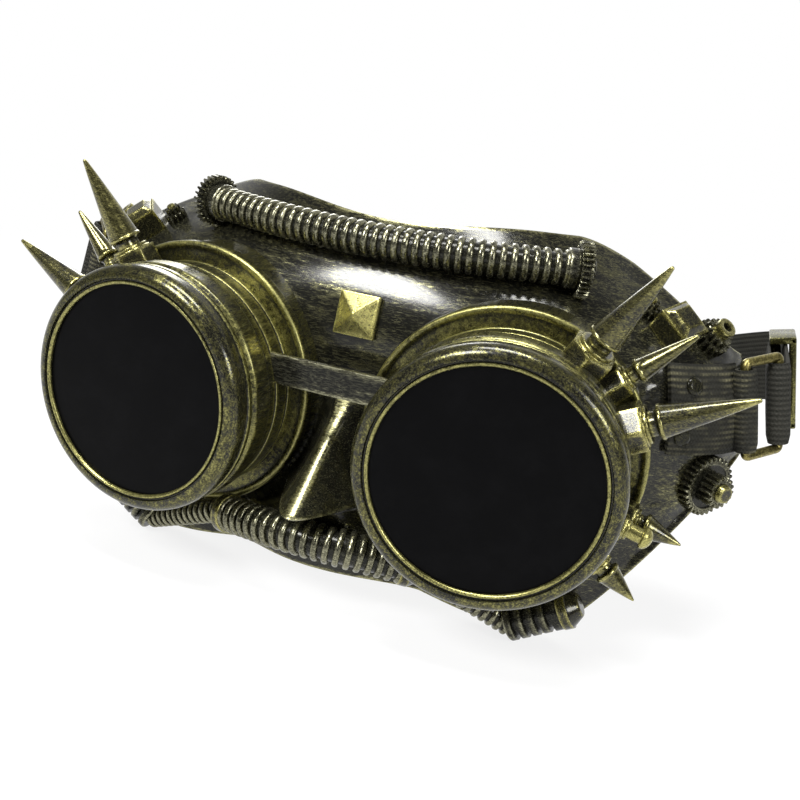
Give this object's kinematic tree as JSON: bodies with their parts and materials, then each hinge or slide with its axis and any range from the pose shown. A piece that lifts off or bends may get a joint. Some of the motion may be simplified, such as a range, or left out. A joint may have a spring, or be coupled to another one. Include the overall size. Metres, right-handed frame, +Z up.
{
  "type": "goggles",
  "caption": "Costume goggles: half mask with round screw-ring eye cups, spikes, ribbed hoses, gears and an elastic head strap.",
  "frame": {"origin": "between the wearer's eyes, on the level of both cup axes, 45 mm behind the lens rims", "axes": "+X to the viewer's right, +Y from the front of the goggles towards the wearer, +Z up"},
  "size_m": [0.2092, 0.1627, 0.0966],
  "materials": {
    "mask_paint": "black plastic dry-brushed with antique gold",
    "antique_paint": "antique gold over black",
    "stud_metal": "worn antique gold",
    "ring_brass": "satin",
    "dark_lens": "black, satin",
    "gasket_rubber": "matte",
    "webbing": "ribbed elastic",
    "tab_webbing": "ribbed, painted",
    "slider_plastic": "satin"
  },
  "bodies": {
    "mask": {"mask_shell": "mask_paint", "bridge_bar": "antique_paint", "brow_stud": "stud_metal", "top_hose": "antique_paint", "lower_hose": "antique_paint", "strap": "webbing", "strap_return": "webbing", "right_eye_collar": "antique_paint", "left_eye_collar": "antique_paint", "right_barrel": "antique_paint", "left_barrel": "antique_paint", "right_lens_gasket": "gasket_rubber", "left_lens_gasket": "gasket_rubber", "right_stud_bases": "stud_metal", "left_stud_bases": "stud_metal", "right_spike_a": "stud_metal", "left_spike_a": "stud_metal", "right_spike_b": "stud_metal", "left_spike_b": "stud_metal", "right_spike_c": "stud_metal", "left_spike_c": "stud_metal", "right_thorns": "antique_paint", "left_thorns": "antique_paint", "right_cheek_bolt": "stud_metal", "left_cheek_bolt": "stud_metal", "right_block_stud": "stud_metal", "left_block_stud": "stud_metal", "right_brow_gear": "antique_paint", "left_brow_gear": "antique_paint", "right_temple_gear": "antique_paint", "left_temple_gear": "antique_paint", "right_temple_pinions": "antique_paint", "left_temple_pinions": "antique_paint", "right_cheek_gear": "antique_paint", "left_cheek_gear": "antique_paint", "right_cheek_pinion": "stud_metal", "left_cheek_pinion": "stud_metal", "right_gear_hubs": "stud_metal", "left_gear_hubs": "stud_metal", "right_vent": "antique_paint", "left_vent": "antique_paint", "right_vent_cap": "stud_metal", "left_vent_cap": "stud_metal", "right_brow_collar": "antique_paint", "left_brow_collar": "antique_paint", "right_nose_collar": "stud_metal", "left_nose_collar": "stud_metal", "right_strap_tab": "tab_webbing", "left_strap_tab": "tab_webbing", "right_tab_rivets": "stud_metal", "left_tab_rivets": "stud_metal", "right_strap_ring": "ring_brass", "left_strap_ring": "ring_brass"},
    "right_lens_body": {"right_lens": "dark_lens"},
    "right_ring_body": {"right_bezel_ring": "antique_paint"},
    "left_lens_body": {"left_lens": "dark_lens"},
    "left_ring_body": {"left_bezel_ring": "antique_paint"},
    "slider_body": {"slider": "slider_plastic", "strap_end": "webbing"}
  },
  "joints": [
    {"name": "right_lens_slide", "type": "slide", "parent": "mask", "child": "right_lens_body", "axis": [0.1045, -0.9945, 0], "range_m": [0, 0.00417]},
    {"name": "right_ring_turn", "type": "hinge", "parent": "right_lens_body", "child": "right_ring_body", "pos_m": [0.0431, -0.045, 0], "axis": [0.1045, -0.9945, 0], "range_deg": [0, 750]},
    {"name": "left_lens_slide", "type": "slide", "parent": "mask", "child": "left_lens_body", "axis": [-0.1045, -0.9945, 0], "range_m": [0, 0.00417]},
    {"name": "left_ring_turn", "type": "hinge", "parent": "left_lens_body", "child": "left_ring_body", "pos_m": [-0.0431, -0.045, 0], "axis": [-0.1045, -0.9945, 0], "range_deg": [0, 750]},
    {"name": "slider_slide", "type": "slide", "parent": "mask", "child": "slider_body", "axis": [0, 1, 0], "range_m": [-0.014, 0.004], "deforming": ["strap_return"]}
  ],
  "couplings": [
    {"joint": "right_lens_slide", "follows": "right_ring_turn", "m_per_rad": 0.00031831},
    {"joint": "left_lens_slide", "follows": "left_ring_turn", "m_per_rad": 0.00031831}
  ]
}
